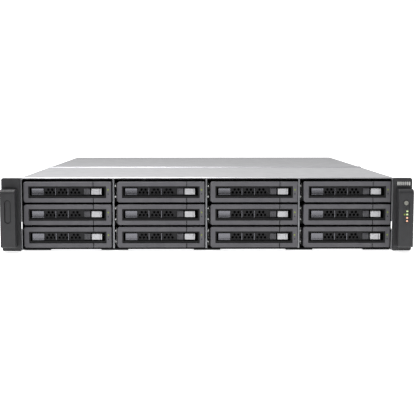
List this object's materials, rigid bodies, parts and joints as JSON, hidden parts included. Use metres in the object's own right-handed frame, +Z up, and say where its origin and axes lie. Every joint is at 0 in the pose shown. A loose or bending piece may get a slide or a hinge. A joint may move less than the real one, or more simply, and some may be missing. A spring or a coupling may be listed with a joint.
{
  "type": "network attached storage",
  "caption": "Rack-mount network storage unit with a front grid of hot-swap drive trays, rack ears with handle covers, and pull-out power modules at the back.",
  "frame": {"origin": "middle of the overall width and depth, at the underside of the pressed feet", "axes": "+X to the right seen from the front, +Y towards the back, +Z up"},
  "size_m": [0.4826, 0.592, 0.0884],
  "materials": {
    "black_plastic": "satin",
    "button_plastic": "satin",
    "circuit_board": "satin",
    "cover_steel": "satin",
    "ear_plastic": "matt",
    "galvanised_steel": "satin",
    "latch_plastic": "satin",
    "lever_plastic": "matt",
    "release_plastic": "satin",
    "screw_steel": "bright",
    "tray_plastic": "matt"
  },
  "bodies": {
    "chassis": {"chassis_base": "galvanised_steel", "rear_panel": "galvanised_steel", "front_top_cover": "cover_steel", "rear_top_cover": "cover_steel", "drive_cage": "galvanised_steel", "backplane": "circuit_board", "fan_wall": "black_plastic", "motherboard": "circuit_board", "expansion_cards": "galvanised_steel", "power_bay": "galvanised_steel", "rack_ears": "galvanised_steel", "left_ear_cover": "ear_plastic", "right_ear_cover": "ear_plastic", "screws": "screw_steel"},
    "tray_1_1": {"tray_1_1": "tray_plastic"},
    "tray_lever_1_1": {"tray_lever_1_1": "lever_plastic"},
    "tray_release_1_1": {"tray_release_1_1": "release_plastic"},
    "power_button": {"power_button": "button_plastic"},
    "fan_rotor_1": {"fan_rotor_1": "black_plastic"},
    "fan_rotor_2": {"fan_rotor_2": "black_plastic"},
    "fan_rotor_3": {"fan_rotor_3": "black_plastic"},
    "power_module_1": {"power_module_1": "galvanised_steel"},
    "power_latch_1": {"power_latch_1": "latch_plastic"},
    "power_rotor_1": {"power_rotor_1": "black_plastic"},
    "power_module_2": {"power_module_2": "galvanised_steel"},
    "power_latch_2": {"power_latch_2": "latch_plastic"},
    "power_rotor_2": {"power_rotor_2": "black_plastic"},
    "tray_1_2": {"tray_1_2": "tray_plastic"},
    "tray_1_3": {"tray_1_3": "tray_plastic"},
    "tray_2_1": {"tray_2_1": "tray_plastic"},
    "tray_2_2": {"tray_2_2": "tray_plastic"},
    "tray_2_3": {"tray_2_3": "tray_plastic"},
    "tray_3_1": {"tray_3_1": "tray_plastic"},
    "tray_3_2": {"tray_3_2": "tray_plastic"},
    "tray_3_3": {"tray_3_3": "tray_plastic"},
    "tray_4_1": {"tray_4_1": "tray_plastic"},
    "tray_4_2": {"tray_4_2": "tray_plastic"},
    "tray_4_3": {"tray_4_3": "tray_plastic"},
    "tray_lever_1_2": {"tray_lever_1_2": "lever_plastic"},
    "tray_lever_1_3": {"tray_lever_1_3": "lever_plastic"},
    "tray_lever_2_1": {"tray_lever_2_1": "lever_plastic"},
    "tray_lever_2_2": {"tray_lever_2_2": "lever_plastic"},
    "tray_lever_2_3": {"tray_lever_2_3": "lever_plastic"},
    "tray_lever_3_1": {"tray_lever_3_1": "lever_plastic"},
    "tray_lever_3_2": {"tray_lever_3_2": "lever_plastic"},
    "tray_lever_3_3": {"tray_lever_3_3": "lever_plastic"},
    "tray_lever_4_1": {"tray_lever_4_1": "lever_plastic"},
    "tray_lever_4_2": {"tray_lever_4_2": "lever_plastic"},
    "tray_lever_4_3": {"tray_lever_4_3": "lever_plastic"},
    "tray_release_1_2": {"tray_release_1_2": "release_plastic"},
    "tray_release_1_3": {"tray_release_1_3": "release_plastic"},
    "tray_release_2_1": {"tray_release_2_1": "release_plastic"},
    "tray_release_2_2": {"tray_release_2_2": "release_plastic"},
    "tray_release_2_3": {"tray_release_2_3": "release_plastic"},
    "tray_release_3_1": {"tray_release_3_1": "release_plastic"},
    "tray_release_3_2": {"tray_release_3_2": "release_plastic"},
    "tray_release_3_3": {"tray_release_3_3": "release_plastic"},
    "tray_release_4_1": {"tray_release_4_1": "release_plastic"},
    "tray_release_4_2": {"tray_release_4_2": "release_plastic"},
    "tray_release_4_3": {"tray_release_4_3": "release_plastic"}
  },
  "joints": [
    {"name": "tray_1_1_slide", "type": "slide", "parent": "chassis", "child": "tray_1_1", "axis": [0, -1, 0], "range_m": [0, 0.2]},
    {"name": "tray_lever_1_1_swing", "type": "hinge", "parent": "tray_1_1", "child": "tray_lever_1_1", "pos_m": [-0.20485, -0.2686, 0.07073], "axis": [0, 0, -1], "range_deg": [0, 60]},
    {"name": "tray_release_1_1_press", "type": "slide", "parent": "tray_1_1", "child": "tray_release_1_1", "axis": [1, 0, 0], "range_m": [0, 0.003], "stiffness_N_per_m": 400, "springref_m": -0.002},
    {"name": "power_button_press", "type": "slide", "parent": "chassis", "child": "power_button", "axis": [0, 1, 0], "range_m": [0, 0.0012], "stiffness_N_per_m": 800, "springref_m": -0.001},
    {"name": "fan_rotor_1_spin", "type": "hinge", "parent": "chassis", "child": "fan_rotor_1", "pos_m": [-0.14587, -0.0646, 0.0434], "axis": [0, 1, 0], "continuous": true},
    {"name": "fan_rotor_2_spin", "type": "hinge", "parent": "chassis", "child": "fan_rotor_2", "pos_m": [0, -0.0646, 0.0434], "axis": [0, 1, 0], "continuous": true},
    {"name": "fan_rotor_3_spin", "type": "hinge", "parent": "chassis", "child": "fan_rotor_3", "pos_m": [0.14587, -0.0646, 0.0434], "axis": [0, 1, 0], "continuous": true},
    {"name": "power_module_1_slide", "type": "slide", "parent": "chassis", "child": "power_module_1", "axis": [0, 1, 0], "range_m": [0, 0.2]},
    {"name": "power_latch_1_press", "type": "slide", "parent": "power_module_1", "child": "power_latch_1", "axis": [1, 0, 0], "range_m": [0, 0.0022], "stiffness_N_per_m": 400, "springref_m": -0.002},
    {"name": "power_rotor_1_spin", "type": "hinge", "parent": "power_module_1", "child": "power_rotor_1", "pos_m": [0.1959, 0.264, 0.023], "axis": [0, 1, 0], "continuous": true},
    {"name": "power_module_2_slide", "type": "slide", "parent": "chassis", "child": "power_module_2", "axis": [0, 1, 0], "range_m": [0, 0.2]},
    {"name": "power_latch_2_press", "type": "slide", "parent": "power_module_2", "child": "power_latch_2", "axis": [1, 0, 0], "range_m": [0, 0.0022], "stiffness_N_per_m": 400, "springref_m": -0.002},
    {"name": "power_rotor_2_spin", "type": "hinge", "parent": "power_module_2", "child": "power_rotor_2", "pos_m": [0.1959, 0.264, 0.0634], "axis": [0, 1, 0], "continuous": true},
    {"name": "tray_1_2_slide", "type": "slide", "parent": "chassis", "child": "tray_1_2", "axis": [0, -1, 0], "range_m": [0, 0.2]},
    {"name": "tray_1_3_slide", "type": "slide", "parent": "chassis", "child": "tray_1_3", "axis": [0, -1, 0], "range_m": [0, 0.2]},
    {"name": "tray_2_1_slide", "type": "slide", "parent": "chassis", "child": "tray_2_1", "axis": [0, -1, 0], "range_m": [0, 0.2]},
    {"name": "tray_2_2_slide", "type": "slide", "parent": "chassis", "child": "tray_2_2", "axis": [0, -1, 0], "range_m": [0, 0.2]},
    {"name": "tray_2_3_slide", "type": "slide", "parent": "chassis", "child": "tray_2_3", "axis": [0, -1, 0], "range_m": [0, 0.2]},
    {"name": "tray_3_1_slide", "type": "slide", "parent": "chassis", "child": "tray_3_1", "axis": [0, -1, 0], "range_m": [0, 0.2]},
    {"name": "tray_3_2_slide", "type": "slide", "parent": "chassis", "child": "tray_3_2", "axis": [0, -1, 0], "range_m": [0, 0.2]},
    {"name": "tray_3_3_slide", "type": "slide", "parent": "chassis", "child": "tray_3_3", "axis": [0, -1, 0], "range_m": [0, 0.2]},
    {"name": "tray_4_1_slide", "type": "slide", "parent": "chassis", "child": "tray_4_1", "axis": [0, -1, 0], "range_m": [0, 0.2]},
    {"name": "tray_4_2_slide", "type": "slide", "parent": "chassis", "child": "tray_4_2", "axis": [0, -1, 0], "range_m": [0, 0.2]},
    {"name": "tray_4_3_slide", "type": "slide", "parent": "chassis", "child": "tray_4_3", "axis": [0, -1, 0], "range_m": [0, 0.2]},
    {"name": "tray_lever_1_2_swing", "type": "hinge", "parent": "tray_1_2", "child": "tray_lever_1_2", "pos_m": [-0.20485, -0.2686, 0.0438], "axis": [0, 0, -1], "range_deg": [0, 60]},
    {"name": "tray_lever_1_3_swing", "type": "hinge", "parent": "tray_1_3", "child": "tray_lever_1_3", "pos_m": [-0.20485, -0.2686, 0.01687], "axis": [0, 0, -1], "range_deg": [0, 60]},
    {"name": "tray_lever_2_1_swing", "type": "hinge", "parent": "tray_2_1", "child": "tray_lever_2_1", "pos_m": [-0.09435, -0.2686, 0.07073], "axis": [0, 0, -1], "range_deg": [0, 60]},
    {"name": "tray_lever_2_2_swing", "type": "hinge", "parent": "tray_2_2", "child": "tray_lever_2_2", "pos_m": [-0.09435, -0.2686, 0.0438], "axis": [0, 0, -1], "range_deg": [0, 60]},
    {"name": "tray_lever_2_3_swing", "type": "hinge", "parent": "tray_2_3", "child": "tray_lever_2_3", "pos_m": [-0.09435, -0.2686, 0.01687], "axis": [0, 0, -1], "range_deg": [0, 60]},
    {"name": "tray_lever_3_1_swing", "type": "hinge", "parent": "tray_3_1", "child": "tray_lever_3_1", "pos_m": [0.01615, -0.2686, 0.07073], "axis": [0, 0, -1], "range_deg": [0, 60]},
    {"name": "tray_lever_3_2_swing", "type": "hinge", "parent": "tray_3_2", "child": "tray_lever_3_2", "pos_m": [0.01615, -0.2686, 0.0438], "axis": [0, 0, -1], "range_deg": [0, 60]},
    {"name": "tray_lever_3_3_swing", "type": "hinge", "parent": "tray_3_3", "child": "tray_lever_3_3", "pos_m": [0.01615, -0.2686, 0.01687], "axis": [0, 0, -1], "range_deg": [0, 60]},
    {"name": "tray_lever_4_1_swing", "type": "hinge", "parent": "tray_4_1", "child": "tray_lever_4_1", "pos_m": [0.12665, -0.2686, 0.07073], "axis": [0, 0, -1], "range_deg": [0, 60]},
    {"name": "tray_lever_4_2_swing", "type": "hinge", "parent": "tray_4_2", "child": "tray_lever_4_2", "pos_m": [0.12665, -0.2686, 0.0438], "axis": [0, 0, -1], "range_deg": [0, 60]},
    {"name": "tray_lever_4_3_swing", "type": "hinge", "parent": "tray_4_3", "child": "tray_lever_4_3", "pos_m": [0.12665, -0.2686, 0.01687], "axis": [0, 0, -1], "range_deg": [0, 60]},
    {"name": "tray_release_1_2_press", "type": "slide", "parent": "tray_1_2", "child": "tray_release_1_2", "axis": [1, 0, 0], "range_m": [0, 0.003], "stiffness_N_per_m": 400, "springref_m": -0.002},
    {"name": "tray_release_1_3_press", "type": "slide", "parent": "tray_1_3", "child": "tray_release_1_3", "axis": [1, 0, 0], "range_m": [0, 0.003], "stiffness_N_per_m": 400, "springref_m": -0.002},
    {"name": "tray_release_2_1_press", "type": "slide", "parent": "tray_2_1", "child": "tray_release_2_1", "axis": [1, 0, 0], "range_m": [0, 0.003], "stiffness_N_per_m": 400, "springref_m": -0.002},
    {"name": "tray_release_2_2_press", "type": "slide", "parent": "tray_2_2", "child": "tray_release_2_2", "axis": [1, 0, 0], "range_m": [0, 0.003], "stiffness_N_per_m": 400, "springref_m": -0.002},
    {"name": "tray_release_2_3_press", "type": "slide", "parent": "tray_2_3", "child": "tray_release_2_3", "axis": [1, 0, 0], "range_m": [0, 0.003], "stiffness_N_per_m": 400, "springref_m": -0.002},
    {"name": "tray_release_3_1_press", "type": "slide", "parent": "tray_3_1", "child": "tray_release_3_1", "axis": [1, 0, 0], "range_m": [0, 0.003], "stiffness_N_per_m": 400, "springref_m": -0.002},
    {"name": "tray_release_3_2_press", "type": "slide", "parent": "tray_3_2", "child": "tray_release_3_2", "axis": [1, 0, 0], "range_m": [0, 0.003], "stiffness_N_per_m": 400, "springref_m": -0.002},
    {"name": "tray_release_3_3_press", "type": "slide", "parent": "tray_3_3", "child": "tray_release_3_3", "axis": [1, 0, 0], "range_m": [0, 0.003], "stiffness_N_per_m": 400, "springref_m": -0.002},
    {"name": "tray_release_4_1_press", "type": "slide", "parent": "tray_4_1", "child": "tray_release_4_1", "axis": [1, 0, 0], "range_m": [0, 0.003], "stiffness_N_per_m": 400, "springref_m": -0.002},
    {"name": "tray_release_4_2_press", "type": "slide", "parent": "tray_4_2", "child": "tray_release_4_2", "axis": [1, 0, 0], "range_m": [0, 0.003], "stiffness_N_per_m": 400, "springref_m": -0.002},
    {"name": "tray_release_4_3_press", "type": "slide", "parent": "tray_4_3", "child": "tray_release_4_3", "axis": [1, 0, 0], "range_m": [0, 0.003], "stiffness_N_per_m": 400, "springref_m": -0.002}
  ]
}
